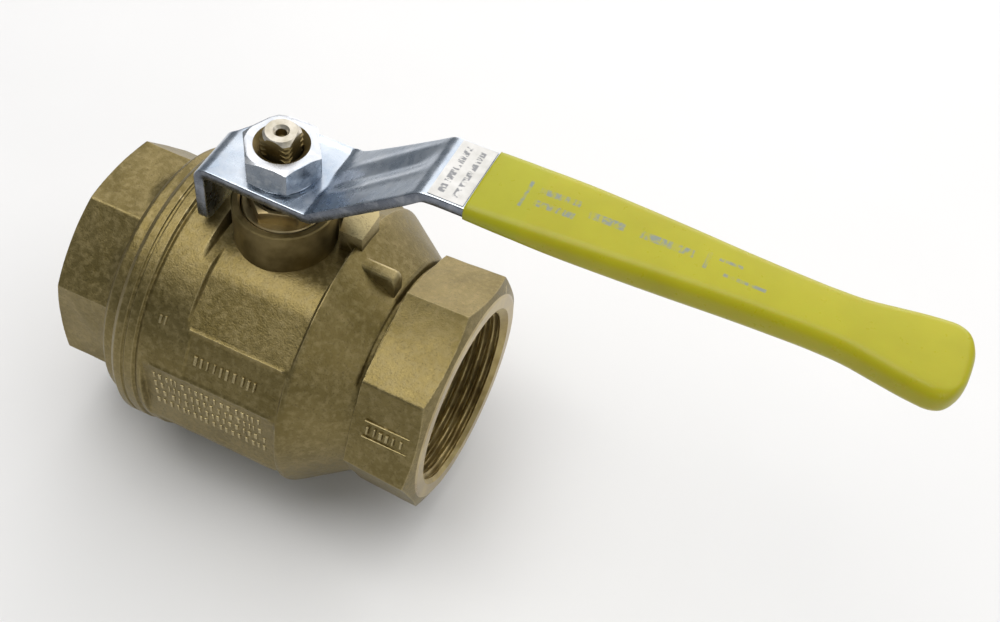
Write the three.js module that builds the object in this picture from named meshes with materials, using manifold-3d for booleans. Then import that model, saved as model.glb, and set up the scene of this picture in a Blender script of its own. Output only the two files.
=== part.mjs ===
// Two-piece brass ball valve, full bore, with G 1 1/2 female threads at both ends and a cranked lever.
// Millimetres. Origin at the ball's centre, +X along the flow axis to the body's own end, +Z up the stem.
// The valve stands open: its lever points along +X.
import * as THREE from "three";
import { mergeVertices } from "three/addons/utils/BufferGeometryUtils.js";
import Module from "manifold-3d";

const manifold = await Module();
manifold.setup();

// ---- Driving dimensions ----
const BODY_END = 51.4; // face of the body's threaded end
const CAP_END = 51.8; // face of the end connector, on the -X side
const JOINT_FACE = 29.3; // where the end connector's flange meets the body
const GAP = 0.3; // clearance left between pieces that touch
const SEGMENTS = 48; // sides of a full turn
const RING_SEGMENTS = 36; // sides of a small ring

const BALL_RADIUS = 30;
const BORE_RADIUS = 19;
const SLOT_WIDTH = 9.4; // ball's slot for the stem's tang
const SLOT_FLOOR = 23.2;

const SEAT_INNER = 19.6;
const SEAT_OUTER = 26.4;
const SEAT_FRONT = 19.5; // seat's face towards the ball
const SEAT_BACK = 25.6;

const THREAD_RADIUS = 22.6; // plain bore in place of the thread, whose minor radius is 22.42
const THREAD_MOUTH = 24.25; // mouth of the thread's chamfer
const THREAD_CHAMFER = 1.5;
const THREAD_DEPTH = 22.2;

const BODY_RADIUS = 38;
const COLLAR_RADIUS = 38.3;
// Corners of the flats round the body's middle, degrees from straight up.
const FACET_CORNERS = [20, 51.5, 72, 108, 128.5, 160];
const FACET_CORNER_RADIUS = 38.1;
const FACETS_FROM = -13;
const FACETS_TO = 17.6;
const OCTAGON_CORNER = 32.2; // body's wrench flats, corner radius at the end face
const OCTAGON_DRAFT = 0.9; // how much smaller the flats' corners are where they start
const OCTAGON_START = 33;
const WRENCH_FACE_INSET = 2.4; // from the flats in to the end face, across the end chamfer
const WRENCH_CHAMFER_SLOPE = 2.5; // rise of the end chamfer for each millimetre along the axis
const NECK_RADIUS = 29.3;
const CAP_OCTAGON_CORNER = 31.1;
const CAP_OCTAGON_START = 34.4;
const CAP_OCTAGON_TURN = THREE.MathUtils.degToRad(19); // screwed home at this angle
const CAP_FLANGE_RADIUS = 35.2;
const SPIGOT_RADIUS = 31.2;
const SPIGOT_END = 18.4;
const SPIGOT_CLEARANCE = 0.4; // round the spigot, in the body
const RING_GROOVE = [-27.9, -25.5]; // connector's O-ring groove, along X
const RING_GROOVE_DEPTH = 2.2;
const RING_GROOVE_SECTION = 0.9; // half the thickness of the connector's O-ring
const BALL_CHAMBER_RADIUS = 31.4;

const BOSS_RADIUS = 12.6;
const BOSS_TOP = 46.6;
const RIB_START = 18;
const RIB_HALF_WIDTH = 1.9;
const RIB_TOP = 36.1;
const RIB_END = 30.6;
const WALL_DEPTH = 28; // the boss and the stop start at this height, inside the body's wall
const CLOSED_STOP_TOP = 41.2;
const CLOSED_STOP_INNER = 13.7; // inner radius of the closed stop, about the stem
const CLOSED_STOP_OUTLINE = [[5, 14.2], [5, 19.4], [11, 19.2], [16.5, 15.6], [19.7, 10.5], [19.8, 1.7]];
const STEM_RADIUS = 6.5;
const STEM_BORE = 6.9;
const STEM_COLLAR_RADIUS = 9.5;
const STEM_COLLAR_TOP = 33.5;
const STEM_COLLAR_ROOM = 0.9; // height above the collar for the thrust washer
const TANG_TOP = 30.9;
const STEM_SHOULDER = 53.7; // the lever rests here
const STEM_TOP = 69.2;
const STEM_FLATS = 7.6; // across the flats of the square above the shoulder
const THREAD_M10_RADIUS = 4.9;
const STEM_CHAMFER = 1.2;
const NUT_BORE = 5.25;
const NUT_COUNTERSINK = 6.6;
const CHAMBER_RADIUS = 9;
const CHAMBER_FLOOR = 38;
const GLAND_NOSE = 43; // lowest point of the gland nut
const GLAND_SEAT = 10.5; // radius of the hole that takes the gland nut's thread
const GLAND_NOSE_RADIUS = 8.7;
const GLAND_THREAD_LOW = 43.8;
const GLAND_THREAD_RADIUS = 10.2;
const GLAND_HEX_LOW = 46.4;
const GLAND_HEX_TOP = 50;
const GLAND_FLATS = 16;
const GLAND_TURN = 0.35; // radians
const PACKING_PITCH = 1.2; // one packing ring to the next
const PACKING_INNER = 6.8;
const PACKING_POINT = 7.85; // radius of the V's point
const PACKING_OUTER = 8.8;
const PACKING_RISE = 0.9;
const PACKING_HEIGHT = 1.7;
const THRUST_WASHER = [6.9, 9.4]; // inner and outer radius
const THRUST_WASHER_HEIGHT = 0.66;
const GROOVE_LOW = 34.9; // stem's O-ring groove
const GROOVE_RADIUS = 5;
const RING_SECTION = 1.78; // thickness of the stem's O-ring

const PLATE = 2.8; // lever's sheet thickness
const PLATE_BASE = 54.0; // underside of the lever at the stem
const CRANK_FOOT = 11.2; // where the lever's upper face bends up, along X
const CRANK_HEAD = 38.4; // where it bends level again
const HANDLE_BASE = 76.6; // underside of the lever where the grip starts
const HANDLE_RISE = 0.022; // rise of the handle for each millimetre along it
const HANDLE_HALF_WIDTH = 9.2;
const HANDLE_END = 150.6;
const HANDLE_TIP = [[-3, 8.6], [-1, 7.8], [1, 5.4]]; // rounded end: [from the handle's end, half width]
const TAB_BOTTOM = 39.3;
const TAB_FACE = 15.6; // inner face of the stop tab, from the stem's axis
const TAB_NEAR_EDGE = -9.6;
const TAB_FAR_EDGE = 5;
const NUT_FLATS = 17;
const NUT_HEIGHT = 7.5;
const WASHER_HEIGHT = 0.6;
const LEVER_WASHER = [5.4, 8.3]; // inner and outer radius

const GRIP_START = 49;
const GRIP_END = 154;
// Waisted handle: [along X, half width of the steel, half width of the grip, half height of the grip].
const HANDLE_STATIONS = [
  [49, 9.2, 10.1, 2.7],
  [58, 9.1, 10.1, 3.1],
  [67, 8.8, 9.9, 3.5],
  [82, 8, 9.1, 3.9],
  [93, 7.3, 8.5, 4],
  [105, 6.5, 7.7, 4],
  [115, 6.1, 7.3, 4],
  [125, 6, 7.2, 4],
  [131, 6.3, 7.5, 4],
  [137, 7.3, 8.6, 4],
  [144, 8.4, 9.8, 4],
];
const GRIP_TIP = [
  [149, 10.4, 3.9],
  [152, 8.9, 3.6],
  [154, 5.6, 2.6],
];
const LABEL_FROM = 40.4;
const LABEL_TO = 48.6;
const LABEL_HALF_WIDTH = 8.7;

// ---- Shape helpers ----
function cleaned(geometry) {
  geometry.deleteAttribute("normal");
  geometry.deleteAttribute("uv");
  const merged = mergeVertices(geometry, 1e-4);
  const source = merged.index.array;
  const kept = [];
  for (let i = 0; i < source.length; i += 3) {
    const [a, b, c] = [source[i], source[i + 1], source[i + 2]];
    if (a !== b && b !== c && c !== a) {
      kept.push(a, b, c);
    }
  }
  merged.setIndex(kept);
  return merged;
}

function signedVolume(geometry) {
  const points = geometry.attributes.position;
  const index = geometry.index.array;
  const [a, b, c] = [new THREE.Vector3(), new THREE.Vector3(), new THREE.Vector3()];
  let volume = 0;
  for (let i = 0; i < index.length; i += 3) {
    a.fromBufferAttribute(points, index[i]);
    b.fromBufferAttribute(points, index[i + 1]);
    c.fromBufferAttribute(points, index[i + 2]);
    volume += a.dot(b.cross(c)) / 6;
  }
  return volume;
}

function solid(geometry) {
  const shape = cleaned(geometry);
  const index = Uint32Array.from(shape.index.array);
  if (signedVolume(shape) < 0) {
    for (let i = 0; i < index.length; i += 3) {
      [index[i + 1], index[i + 2]] = [index[i + 2], index[i + 1]];
    }
  }
  const vertProperties = Float32Array.from(shape.attributes.position.array);
  return new manifold.Manifold(new manifold.Mesh({ numProp: 3, vertProperties, triVerts: index }));
}

function geometryOf(shape) {
  const mesh = shape.getMesh();
  const geometry = new THREE.BufferGeometry();
  geometry.setAttribute("position", new THREE.BufferAttribute(mesh.vertProperties, 3));
  geometry.setIndex(new THREE.BufferAttribute(mesh.triVerts, 1));
  geometry.computeVertexNormals();
  return geometry;
}

function union(...shapes) {
  return shapes.reduce((all, next) => all.add(next));
}

// A profile of [along, radius] points, turned about an axis through the origin.
function turned(profile, axis = "x", segments = SEGMENTS) {
  const points = profile.map(([along, radius]) => new THREE.Vector2(radius, along));
  if (profile[0][1] > 0) {
    points.push(points[0].clone());
  }
  const geometry = new THREE.LatheGeometry(points, segments);
  if (axis === "x") {
    geometry.rotateZ(-Math.PI / 2);
  } else {
    geometry.rotateX(Math.PI / 2);
  }
  return solid(geometry);
}

// A solid turned profile, closed to the axis at both ends.
function turnedSolid(profile, axis = "x", segments = SEGMENTS) {
  const first = [profile[0][0], 0];
  const last = [profile[profile.length - 1][0], 0];
  return turned([first, ...profile, last], axis, segments);
}

function arc(centreAlong, centreRadius, radius, from, to, steps) {
  const points = [];
  for (let i = 0; i <= steps; i += 1) {
    const angle = THREE.MathUtils.degToRad(from + ((to - from) * i) / steps);
    points.push([centreAlong + radius * Math.cos(angle), centreRadius + radius * Math.sin(angle)]);
  }
  return points;
}

function box(low, high) {
  const size = high.map((value, i) => value - low[i]);
  const geometry = new THREE.BoxGeometry(...size);
  geometry.translate(...low.map((value, i) => value + size[i] / 2));
  return solid(geometry);
}

function rod(radius, low, high, axis = "z", segments = SEGMENTS) {
  return turnedSolid([[low, radius], [high, radius]], axis, segments);
}

// A flat outline in XY, raised from one height to another.
function raised(outline, low, high) {
  const shape = new THREE.Shape(outline.map(([x, y]) => new THREE.Vector2(x, y)));
  const geometry = new THREE.ExtrudeGeometry(shape, { depth: high - low, bevelEnabled: false });
  geometry.translate(0, 0, low);
  return solid(geometry);
}

// A regular prism about the X axis with a corner at the given turn from straight up.
function prismAlongX(corner, sides, turn, low, high, cornerAtLow = corner) {
  const geometry = new THREE.CylinderGeometry(corner, cornerAtLow, high - low, sides, 1);
  geometry.translate(0, (high + low) / 2, 0);
  geometry.rotateZ(-Math.PI / 2);
  const firstCorner = Math.PI / 2;
  geometry.rotateX(turn - firstCorner);
  return solid(geometry);
}

function mirroredX(profile) {
  return profile.map(([along, radius]) => [-along, radius]);
}

function ringAbout(axis, along, centreRadius, sectionRadius) {
  const sides = 8;
  const section = arc(along, centreRadius, sectionRadius, 0, 360 - 360 / sides, sides - 1);
  return turned(section, axis, RING_SEGMENTS);
}

function washer([inner, outer], low, high) {
  return turned([[low, inner], [high, inner], [high, outer], [low, outer]], "z", 48);
}

// ---- Shared profiles ----
// Threaded socket, passage and seat pocket of one end, from the end face inwards.
function endCavity(end) {
  const socketFloor = end - THREAD_DEPTH;
  return [
    [end + 1, THREAD_MOUTH],
    [end, THREAD_MOUTH],
    [end - THREAD_CHAMFER, THREAD_RADIUS],
    [socketFloor, THREAD_RADIUS],
    [socketFloor, SEAT_INNER],
    [SEAT_BACK + GAP, SEAT_INNER],
    [SEAT_BACK + GAP, SEAT_OUTER + GAP],
  ];
}

// Wrench octagon with its end corners turned off in the lathe.
function wrenchEnd(corner, turn, low, high, draft) {
  const flat = corner * Math.cos(Math.PI / 8);
  const prism = prismAlongX(corner, 8, turn, low, high, corner - draft);
  const faceRadius = flat - WRENCH_FACE_INSET;
  const clear = corner + 0.2;
  const turnedOff = turnedSolid([
    [low, corner + 1],
    [high - (clear - faceRadius) / WRENCH_CHAMFER_SLOPE, clear],
    [high, faceRadius],
  ]);
  return prism.intersect(turnedOff);
}

// ---- Pieces ----
// The flats round the body's middle, as a prism to be cut to; beyond its ends the body stays round.
function facetEnvelope() {
  const side = FACET_CORNERS.map((angle) => THREE.MathUtils.degToRad(angle));
  const angles = [...side, ...side.map((angle) => 2 * Math.PI - angle).reverse()];
  const outline = angles.map((angle) => [
    FACET_CORNER_RADIUS * Math.sin(angle),
    FACET_CORNER_RADIUS * Math.cos(angle),
  ]);
  const shape = new THREE.Shape(outline.map(([y, z]) => new THREE.Vector2(y, z)));
  const depth = FACETS_TO - FACETS_FROM;
  const geometry = new THREE.ExtrudeGeometry(shape, { depth, bevelEnabled: false });
  geometry.rotateY(Math.PI / 2);
  geometry.rotateX(Math.PI / 2);
  geometry.translate(FACETS_FROM, 0, 0);
  const beyond = 60;
  const before = box([-beyond, -beyond, -beyond], [FACETS_FROM, beyond, beyond]);
  const after = box([FACETS_TO, -beyond, -beyond], [beyond, beyond, beyond]);
  return union(solid(geometry), before, after);
}

// The lug that the lever's tab meets when the valve is shut.
function makeClosedStop() {
  const lug = [...arc(0, 0, CLOSED_STOP_INNER, 7, 67, 6), ...CLOSED_STOP_OUTLINE];
  const tabRoom = box([-10, 0, 20], [TAB_FAR_EDGE + GAP, 30, 60]);
  return raised(lug, WALL_DEPTH, CLOSED_STOP_TOP).subtract(tabRoom);
}

function makeBody() {
  const shell = turnedSolid([
    [-JOINT_FACE, COLLAR_RADIUS - 1.4],
    [-JOINT_FACE + 0.5, COLLAR_RADIUS - 0.4],
    [-JOINT_FACE + 1.4, COLLAR_RADIUS],
    [-22.6, COLLAR_RADIUS],
    [-21.8, BODY_RADIUS],
    ...arc(17.6, BODY_RADIUS - 2.4, 2.4, 90, 36, 3),
    [31.4, NECK_RADIUS],
    [OCTAGON_START + 0.2, NECK_RADIUS],
  ]);
  const wrench = wrenchEnd(OCTAGON_CORNER, 0, OCTAGON_START, BODY_END, OCTAGON_DRAFT);
  const bossProfile = [
    [WALL_DEPTH, BOSS_RADIUS],
    [BOSS_TOP - 0.5, BOSS_RADIUS],
    [BOSS_TOP, BOSS_RADIUS - 0.5],
  ];
  const boss = turnedSolid(bossProfile, "z");
  const rib = box([RIB_START, -RIB_HALF_WIDTH, 25], [RIB_END, RIB_HALF_WIDTH, RIB_TOP]);
  const spigotRoom = SPIGOT_RADIUS + SPIGOT_CLEARANCE;
  const cavity = turnedSolid([
    [-JOINT_FACE - 1, spigotRoom + 0.8],
    [-JOINT_FACE, spigotRoom + 0.8],
    [-JOINT_FACE + 0.8, spigotRoom],
    [-SPIGOT_END + 0.8, spigotRoom],
    [-SPIGOT_END + 1.4, spigotRoom - 0.6],
    ...arc(0, 0, BALL_CHAMBER_RADIUS, 81, 58.2, 6),
    ...endCavity(BODY_END).reverse(),
  ]);
  const stemHole = turnedSolid(
    [
      [20, STEM_COLLAR_RADIUS + GAP],
      [STEM_COLLAR_TOP + STEM_COLLAR_ROOM, STEM_COLLAR_RADIUS + GAP],
      [STEM_COLLAR_TOP + STEM_COLLAR_ROOM, STEM_BORE],
      [CHAMBER_FLOOR, STEM_BORE],
      [CHAMBER_FLOOR, CHAMBER_RADIUS],
      [GLAND_NOSE + 0.4, CHAMBER_RADIUS],
      [GLAND_NOSE + 0.4, GLAND_SEAT],
      [BOSS_TOP + 1, GLAND_SEAT],
    ],
    "z",
    48,
  );
  const outside = union(shell.intersect(facetEnvelope()), wrench, boss, rib, makeClosedStop());
  return outside.subtract(cavity).subtract(stemHole);
}

function makeEndConnector() {
  const outside = turnedSolid([
    [-CAP_OCTAGON_START - 0.6, CAP_FLANGE_RADIUS - 2.4],
    [-CAP_OCTAGON_START, CAP_FLANGE_RADIUS - 1.2],
    [-CAP_OCTAGON_START + 1.6, CAP_FLANGE_RADIUS],
    [-JOINT_FACE - GAP - 0.5, CAP_FLANGE_RADIUS],
    [-JOINT_FACE - GAP, CAP_FLANGE_RADIUS - 0.5],
    [-JOINT_FACE - GAP, SPIGOT_RADIUS],
    [RING_GROOVE[0], SPIGOT_RADIUS],
    [RING_GROOVE[0], SPIGOT_RADIUS - RING_GROOVE_DEPTH],
    [RING_GROOVE[1], SPIGOT_RADIUS - RING_GROOVE_DEPTH],
    [RING_GROOVE[1], SPIGOT_RADIUS],
    [-SPIGOT_END - 1, SPIGOT_RADIUS],
    [-SPIGOT_END, SPIGOT_RADIUS - 1],
  ]);
  const flats = wrenchEnd(CAP_OCTAGON_CORNER, -CAP_OCTAGON_TURN, CAP_OCTAGON_START, CAP_END, 0);
  const cavity = turnedSolid([
    ...mirroredX(endCavity(CAP_END)),
    [-SPIGOT_END + 1, SEAT_OUTER + GAP],
  ]);
  return union(outside, flats.mirror([1, 0, 0])).subtract(cavity);
}

function makeConnectorRing() {
  const middle = (RING_GROOVE[0] + RING_GROOVE[1]) / 2;
  return ringAbout("x", middle, SPIGOT_RADIUS - 1, RING_GROOVE_SECTION);
}

function makeSeatRing(side) {
  const contact = BALL_RADIUS + GAP;
  const from = THREE.MathUtils.radToDeg(Math.acos(SEAT_FRONT / contact));
  const to = THREE.MathUtils.radToDeg(Math.asin(SEAT_INNER / contact));
  const profile = [
    [SEAT_BACK, SEAT_INNER],
    [SEAT_BACK, SEAT_OUTER],
    [SEAT_FRONT, SEAT_OUTER],
    ...arc(0, 0, contact, from, to, 5),
  ];
  return turned(side > 0 ? profile : mirroredX(profile));
}

function makeBall() {
  const sphere = turnedSolid(arc(0, 0, BALL_RADIUS, 0.01, 179.99, 26));
  const bore = rod(BORE_RADIUS, -40, 40, "x");
  const slot = box([-SLOT_WIDTH / 2, -40, SLOT_FLOOR], [SLOT_WIDTH / 2, 40, 40]);
  return sphere.subtract(bore).subtract(slot);
}

function makeStem() {
  const grooveTop = GROOVE_LOW + RING_SECTION + 0.3;
  const turnedPart = turnedSolid(
    [
      [SLOT_FLOOR + 0.6, STEM_COLLAR_RADIUS],
      [STEM_COLLAR_TOP, STEM_COLLAR_RADIUS],
      [STEM_COLLAR_TOP, STEM_RADIUS],
      [GROOVE_LOW, STEM_RADIUS],
      [GROOVE_LOW, GROOVE_RADIUS],
      [grooveTop, GROOVE_RADIUS],
      [grooveTop, STEM_RADIUS],
      [STEM_SHOULDER - 0.5, STEM_RADIUS],
      [STEM_SHOULDER, STEM_RADIUS - 0.5],
      [STEM_SHOULDER, THREAD_M10_RADIUS],
      [STEM_TOP - STEM_CHAMFER, THREAD_M10_RADIUS],
      [STEM_TOP, THREAD_M10_RADIUS - STEM_CHAMFER],
    ],
    "z",
    48,
  );
  const half = STEM_FLATS / 2;
  const squared = union(
    box([-half, -half, STEM_SHOULDER - 1], [half, half, STEM_TOP + 1]),
    box([-20, -20, 0], [20, 20, STEM_SHOULDER]),
  );
  const tangHalf = SLOT_WIDTH / 2 - GAP;
  const tang = union(
    box([-tangHalf, -20, 20], [tangHalf, 20, TANG_TOP]),
    box([-20, -20, TANG_TOP - 0.3], [20, 20, 80]),
  );
  const centreHole = [
    [STEM_TOP - 3.2, 0.4],
    [STEM_TOP - 1.4, 1.5],
    [STEM_TOP + 1, 1.9],
  ];
  const centre = turnedSolid(centreHole, "z", 24);
  return turnedPart.intersect(squared).intersect(tang).subtract(centre);
}

function makeThrustWasher() {
  const low = STEM_COLLAR_TOP + (STEM_COLLAR_ROOM - THRUST_WASHER_HEIGHT) / 2;
  return washer(THRUST_WASHER, low, low + THRUST_WASHER_HEIGHT);
}

function makeStemRing() {
  return ringAbout("z", GROOVE_LOW + (RING_SECTION + 0.3) / 2, 5.95, RING_SECTION / 2);
}

// Chevron packing: a V-shaped ring, point up, the place counted from the bottom of the stack.
function makePackingRing(place) {
  const height = CHAMBER_FLOOR + GAP + place * PACKING_PITCH;
  return turned(
    [
      [height, PACKING_INNER],
      [height + PACKING_RISE, PACKING_POINT],
      [height, PACKING_OUTER],
      [height + PACKING_RISE, PACKING_OUTER],
      [height + PACKING_HEIGHT, PACKING_POINT],
      [height + PACKING_RISE, PACKING_INNER],
    ],
    "z",
    RING_SEGMENTS,
  );
}

function makeGlandNut() {
  const corner = GLAND_FLATS / 2 / Math.cos(Math.PI / 6);
  const threaded = turnedSolid(
    [
      [GLAND_THREAD_LOW, GLAND_THREAD_RADIUS - 0.4],
      [GLAND_THREAD_LOW + 0.4, GLAND_THREAD_RADIUS],
      [GLAND_HEX_LOW - 0.2, GLAND_THREAD_RADIUS],
      [GLAND_HEX_LOW - 0.2, corner - 0.3],
      [GLAND_HEX_LOW + 0.2, corner - 0.3],
    ],
    "z",
    48,
  );
  const nose = rod(GLAND_NOSE_RADIUS, GLAND_NOSE, GLAND_NOSE + 1);
  const height = GLAND_HEX_TOP - GLAND_HEX_LOW;
  const hexagon = new THREE.CylinderGeometry(corner, corner, height, 6, 1);
  hexagon.rotateX(Math.PI / 2);
  hexagon.rotateZ(GLAND_TURN);
  hexagon.translate(0, 0, GLAND_HEX_LOW + height / 2);
  const rounded = turnedSolid(
    [
      [GLAND_NOSE, corner + 1],
      [GLAND_HEX_TOP - 0.8, corner],
      [GLAND_HEX_TOP, corner - 1],
    ],
    "z",
    48,
  );
  const outside = union(threaded, nose, solid(hexagon).intersect(rounded));
  return outside.subtract(rod(STEM_RADIUS + GAP, GLAND_NOSE - 1, GLAND_HEX_TOP + 1));
}

// Height of the middle of the handle's steel, and of the grip's sections.
function handleMiddle(along) {
  return HANDLE_BASE + PLATE / 2 + HANDLE_RISE * (along - GRIP_START);
}

// Side view of the bent strip, [along X, height].
function leverSideView() {
  const half = PLATE / 2;
  const top = PLATE_BASE + PLATE;
  const tabOuter = TAB_FACE + PLATE;
  const headTop = handleMiddle(CRANK_HEAD) + half;
  const slope = (headTop - top) / (CRANK_HEAD - CRANK_FOOT);
  const offset = PLATE * Math.tan(Math.atan(slope) / 2); // from a bend of the upper face to the lower face's
  const foot = CRANK_FOOT + offset;
  const head = CRANK_HEAD + offset;
  const headLow = PLATE_BASE + slope * (head - foot);
  const view = new THREE.Shape();
  view.moveTo(-tabOuter, TAB_BOTTOM);
  view.lineTo(-tabOuter, top - 3.6);
  view.quadraticCurveTo(-tabOuter, top, -tabOuter + 3.6, top);
  view.lineTo(CRANK_FOOT - 1.6, top);
  view.quadraticCurveTo(CRANK_FOOT, top, CRANK_FOOT + 1.4, top + 1.4 * slope);
  view.lineTo(CRANK_HEAD - 3, headTop - 3 * slope);
  view.quadraticCurveTo(CRANK_HEAD, headTop, CRANK_HEAD + 3.4, handleMiddle(CRANK_HEAD + 3.4) + half);
  view.lineTo(HANDLE_END, handleMiddle(HANDLE_END) + half);
  view.lineTo(HANDLE_END, handleMiddle(HANDLE_END) - half);
  view.lineTo(head + 2, handleMiddle(head + 2) - half);
  view.quadraticCurveTo(head, headLow, head - 1.6, headLow - 1.6 * slope);
  view.lineTo(foot + 2.2, PLATE_BASE + 2.2 * slope);
  view.quadraticCurveTo(foot, PLATE_BASE, foot - 2.6, PLATE_BASE);
  view.lineTo(-TAB_FACE + 1, PLATE_BASE);
  view.quadraticCurveTo(-TAB_FACE, PLATE_BASE, -TAB_FACE, PLATE_BASE - 1);
  view.lineTo(-TAB_FACE, TAB_BOTTOM);
  return view;
}

function makeLever() {
  const settings = { depth: 40, bevelEnabled: false, curveSegments: 5 };
  const strip = new THREE.ExtrudeGeometry(leverSideView(), settings);
  strip.translate(0, 0, -20);
  strip.rotateX(Math.PI / 2);
  // Plan view: a wide root round the nut, narrowing up the crank to the handle.
  const handle = HANDLE_STATIONS.map(([x, halfWidth]) => [x, halfWidth]);
  handle.push(...HANDLE_TIP.map(([beyond, halfWidth]) => [HANDLE_END + beyond, halfWidth]));
  const plan = [
    [-30, TAB_NEAR_EDGE],
    [13, -9.9],
    [36, -9.9],
    [42, -HANDLE_HALF_WIDTH],
    ...handle.map(([x, halfWidth]) => [x, -halfWidth]),
    ...handle.reverse(),
    [42, HANDLE_HALF_WIDTH],
    [36, 9.4],
    [24, 10.8],
    [12, 13.3],
    [-4, 13.4],
    [-10, 11.6],
    [-TAB_FACE + 1, TAB_FAR_EDGE + 1.2],
    [-TAB_FACE + 0.4, TAB_FAR_EDGE],
    [-30, TAB_FAR_EDGE],
  ];
  const blank = solid(strip).intersect(raised(plan, 30, 90));
  const hole = STEM_FLATS / 2 + 0.15;
  return blank.subtract(box([-hole, -hole, 50], [hole, hole, 60]));
}

// Sleeve section at one station: a rounded rectangle given as [y, z] points.
function sleeveSection(halfWidth, low, high) {
  const round = Math.min((high - low) / 2 - 0.05, 4);
  const outline = [];
  const corners = [
    [halfWidth - round, high - round, 0],
    [-halfWidth + round, high - round, 90],
    [-halfWidth + round, low + round, 180],
    [halfWidth - round, low + round, 270],
  ];
  for (const [y, z, start] of corners) {
    outline.push(...arc(y, z, round, start, start + 90, 4));
  }
  return outline;
}

// A closed skin over a row of sections that all have the same number of points.
function lofted(stations) {
  const count = stations[0].outline.length;
  const positions = [];
  const index = [];
  for (const { x, outline } of stations) {
    for (const [y, z] of outline) {
      positions.push(x, y, z);
    }
  }
  for (let s = 0; s + 1 < stations.length; s += 1) {
    for (let i = 0; i < count; i += 1) {
      const a = s * count + i;
      const b = s * count + ((i + 1) % count);
      index.push(a, a + count, b, b, a + count, b + count);
    }
  }
  for (const [station, flip] of [[0, false], [stations.length - 1, true]]) {
    const base = station * count;
    for (let i = 1; i + 1 < count; i += 1) {
      index.push(base, base + (flip ? i + 1 : i), base + (flip ? i : i + 1));
    }
  }
  const geometry = new THREE.BufferGeometry();
  geometry.setAttribute("position", new THREE.Float32BufferAttribute(positions, 3));
  geometry.setIndex(index);
  return solid(geometry);
}

function makeLeverGrip() {
  const waist = HANDLE_STATIONS.map(([x, , halfWidth, halfHeight]) => [x, halfWidth, halfHeight]);
  const stations = [...waist, ...GRIP_TIP];
  const skin = stations.map(([x, halfWidth, halfHeight]) => {
    const middle = handleMiddle(x);
    return { x, outline: sleeveSection(halfWidth, middle - halfHeight, middle + halfHeight) };
  });
  // Pocket for the steel, open at the start of the grip.
  const room = PLATE / 2 + GAP;
  const steel = HANDLE_STATIONS.map(([x, halfWidth]) => [x, halfWidth + GAP]);
  steel[0] = [GRIP_START - 3, HANDLE_HALF_WIDTH + GAP];
  steel.push([HANDLE_END + 0.6, 8.9]);
  const pocket = steel.map(([x, halfWidth]) => {
    const [low, high] = [handleMiddle(x) - room, handleMiddle(x) + room];
    return { x, outline: [[halfWidth, high], [-halfWidth, high], [-halfWidth, low], [halfWidth, low]] };
  });
  return lofted(skin).subtract(lofted(pocket));
}

function makeLeverNut() {
  const corner = NUT_FLATS / 2 / Math.cos(Math.PI / 6);
  const low = PLATE_BASE + PLATE + WASHER_HEIGHT + GAP;
  const hexagon = new THREE.CylinderGeometry(corner, corner, NUT_HEIGHT, 6, 1);
  hexagon.rotateX(Math.PI / 2);
  hexagon.rotateZ(THREE.MathUtils.degToRad(-55 - 60) + Math.PI / 2);
  hexagon.translate(0, 0, low + NUT_HEIGHT / 2);
  const chamfered = turnedSolid(
    [
      [low, corner - 1],
      [low + 0.6, corner + 0.05],
      [low + NUT_HEIGHT - 0.6, corner + 0.05],
      [low + NUT_HEIGHT, corner - 1],
    ],
    "z",
    48,
  );
  const bore = turnedSolid(
    [
      [low - 1, NUT_BORE + 0.2],
      [low + 0.3, NUT_BORE],
      [low + NUT_HEIGHT - 1.2, NUT_BORE],
      [low + NUT_HEIGHT, NUT_COUNTERSINK],
      [low + NUT_HEIGHT + 0.5, NUT_COUNTERSINK + 0.5],
    ],
    "z",
    48,
  );
  return solid(hexagon).intersect(chamfered).subtract(bore);
}

function makeLeverWasher() {
  const low = PLATE_BASE + PLATE + GAP / 2;
  return washer(LEVER_WASHER, low, low + WASHER_HEIGHT);
}

function makeLeverLabel() {
  const thickness = 0.15;
  const middle = (LABEL_FROM + LABEL_TO) / 2;
  const geometry = new THREE.BoxGeometry(LABEL_TO - LABEL_FROM, 2 * LABEL_HALF_WIDTH, thickness);
  geometry.rotateY(-Math.atan(HANDLE_RISE));
  geometry.translate(middle, 0, handleMiddle(middle) + PLATE / 2 + 0.05 + thickness / 2);
  return solid(geometry);
}

// ---- Materials ----
function material(colour, roughness, metalness) {
  return new THREE.MeshStandardMaterial({ color: colour, roughness, metalness, flatShading: true });
}

const forgedBrass = material(0x8f8050, 0.55, 0.9);
const machinedBrass = material(0xa8873f, 0.35, 0.95);
const chrome = material(0xc9ccd0, 0.12, 1);
const zincSteel = material(0xb4bac2, 0.32, 0.95);
const yellowSleeve = material(0xc9bf1e, 0.3, 0);
const fluoropolymer = material(0xe9e8e2, 0.45, 0);
const blackRubber = material(0x1d1d1f, 0.6, 0);
const paperLabel = material(0xdedddd, 0.6, 0);

// ---- Assembly ----
const valve = new THREE.Group();

function place(name, shape, look) {
  const mesh = new THREE.Mesh(geometryOf(shape), look);
  mesh.name = name;
  valve.add(mesh);
}

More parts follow.
